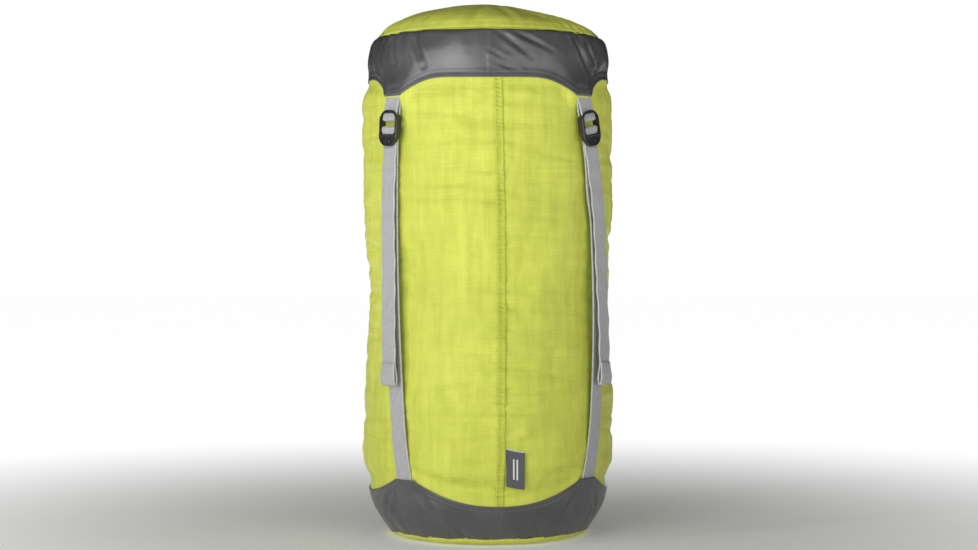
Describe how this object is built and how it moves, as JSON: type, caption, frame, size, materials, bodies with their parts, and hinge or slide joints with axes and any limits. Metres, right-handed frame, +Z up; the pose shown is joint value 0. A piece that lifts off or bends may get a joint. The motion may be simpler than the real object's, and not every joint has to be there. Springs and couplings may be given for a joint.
{
  "type": "compression stuff sack",
  "caption": "Tall round fabric stuff sack with a drawstring mouth, a domed lid, a coated base and webbing compression straps with ladder-lock buckles.",
  "frame": {"origin": "centre of the flat base, where the sack stands", "axes": "+Z up along the sack, -Y out of the front seam, +X to the viewer's right"},
  "size_m": [0.2744, 0.2751, 0.58],
  "materials": {
    "lime_ripstop": "light ripstop nylon, soft sheen",
    "lime_seam": "felled ripstop seam, puckered",
    "grey_coated_nylon": "coated nylon, satin",
    "grey_webbing": "ribbed flat webbing",
    "black_plastic": "moulded acetal",
    "black_cord": "braided cord",
    "spring_steel": "drawn wire",
    "label_cloth": "woven label"
  },
  "bodies": {
    "base": {"base_disc": "lime_ripstop", "base_band": "grey_coated_nylon", "sack_body": "lime_ripstop", "body_seam": "lime_seam", "strap_run_front_left": "grey_webbing", "strap_run_front_right": "grey_webbing", "strap_run_back_left": "grey_webbing", "strap_run_back_right": "grey_webbing"},
    "crown": {"mouth_collar": "lime_ripstop", "drawcord": "black_cord"},
    "cord_lock": {"cord_lock_barrel": "black_plastic", "cord_lock_spring": "spring_steel"},
    "lock_plunger": {"cord_lock_plunger": "black_plastic"},
    "lid": {"lid_disc": "lime_ripstop", "lid_band": "grey_coated_nylon", "lid_loop_front_left": "grey_webbing", "lid_loop_front_right": "grey_webbing", "lid_loop_back_left": "grey_webbing", "lid_loop_back_right": "grey_webbing"},
    "label": {"woven_label": "label_cloth"},
    "buckle_front_left": {"ladder_buckle_front_left": "black_plastic", "strap_wrap_front_left": "grey_webbing"},
    "tail_front_left": {"strap_tail_front_left": "grey_webbing"},
    "buckle_front_right": {"ladder_buckle_front_right": "black_plastic", "strap_wrap_front_right": "grey_webbing"},
    "tail_front_right": {"strap_tail_front_right": "grey_webbing"},
    "buckle_back_left": {"ladder_buckle_back_left": "black_plastic", "strap_wrap_back_left": "grey_webbing"},
    "tail_back_left": {"strap_tail_back_left": "grey_webbing"},
    "buckle_back_right": {"ladder_buckle_back_right": "black_plastic", "strap_wrap_back_right": "grey_webbing"},
    "tail_back_right": {"strap_tail_back_right": "grey_webbing"}
  },
  "joints": [
    {"name": "compress", "type": "slide", "parent": "base", "child": "crown", "axis": [0, 0, 1], "range_m": [-0.15, 0], "deforming": ["sack_body", "body_seam", "strap_run_front_left", "strap_run_front_right", "strap_run_back_left", "strap_run_back_right"]},
    {"name": "lid_lift", "type": "slide", "parent": "crown", "child": "lid", "axis": [0, 0, 1], "range_m": [0, 0.1]},
    {"name": "cord_lock_slide", "type": "slide", "parent": "crown", "child": "cord_lock", "axis": [0, 1, 0], "range_m": [-0.008, 0.028]},
    {"name": "cord_lock_press", "type": "slide", "parent": "cord_lock", "child": "lock_plunger", "axis": [1, 0, 0], "range_m": [0, 0.003], "stiffness_N_per_m": 300, "springref_m": -0.002, "deforming": ["cord_lock_spring"]},
    {"name": "label_flap", "type": "hinge", "parent": "base", "child": "label", "pos_m": [0.0191, -0.13642, 0.084], "axis": [0, 0, -1], "range_deg": [0, 140]},
    {"name": "buckle_tilt_front_left", "type": "hinge", "parent": "lid", "child": "buckle_front_left", "pos_m": [-0.10091, -0.09848, 0.447], "axis": [-0.6975, 0.7147, 0.0523], "range_deg": [0, 30], "deforming": ["lid_loop_front_left"]},
    {"name": "tail_swing_front_left", "type": "hinge", "parent": "buckle_front_left", "child": "tail_front_left", "pos_m": [-0.10257, -0.09785, 0.41624], "axis": [-0.6975, 0.7147, 0.0523], "range_deg": [0, 90]},
    {"name": "buckle_tilt_front_right", "type": "hinge", "parent": "lid", "child": "buckle_front_right", "pos_m": [0.10362, -0.09562, 0.447], "axis": [-0.6657, -0.7214, -0.1908], "range_deg": [0, 30], "deforming": ["lid_loop_front_right"]},
    {"name": "tail_swing_front_right", "type": "hinge", "parent": "buckle_front_right", "child": "tail_front_right", "pos_m": [0.10816, -0.09181, 0.41677], "axis": [-0.6657, -0.7214, -0.1908], "range_deg": [0, 90]},
    {"name": "buckle_tilt_back_left", "type": "hinge", "parent": "lid", "child": "buckle_back_left", "pos_m": [-0.09848, 0.10091, 0.447], "axis": [0.7147, 0.6975, 0.0523], "range_deg": [0, 30], "deforming": ["lid_loop_back_left"]},
    {"name": "tail_swing_back_left", "type": "hinge", "parent": "buckle_back_left", "child": "tail_back_left", "pos_m": [-0.09785, 0.10257, 0.41624], "axis": [0.7147, 0.6975, 0.0523], "range_deg": [0, 90]},
    {"name": "buckle_tilt_back_right", "type": "hinge", "parent": "lid", "child": "buckle_back_right", "pos_m": [0.09848, 0.10091, 0.447], "axis": [0.7147, -0.6975, -0.0523], "range_deg": [0, 30], "deforming": ["lid_loop_back_right"]},
    {"name": "tail_swing_back_right", "type": "hinge", "parent": "buckle_back_right", "child": "tail_back_right", "pos_m": [0.09785, 0.10257, 0.41624], "axis": [0.7147, -0.6975, -0.0523], "range_deg": [0, 90]}
  ]
}
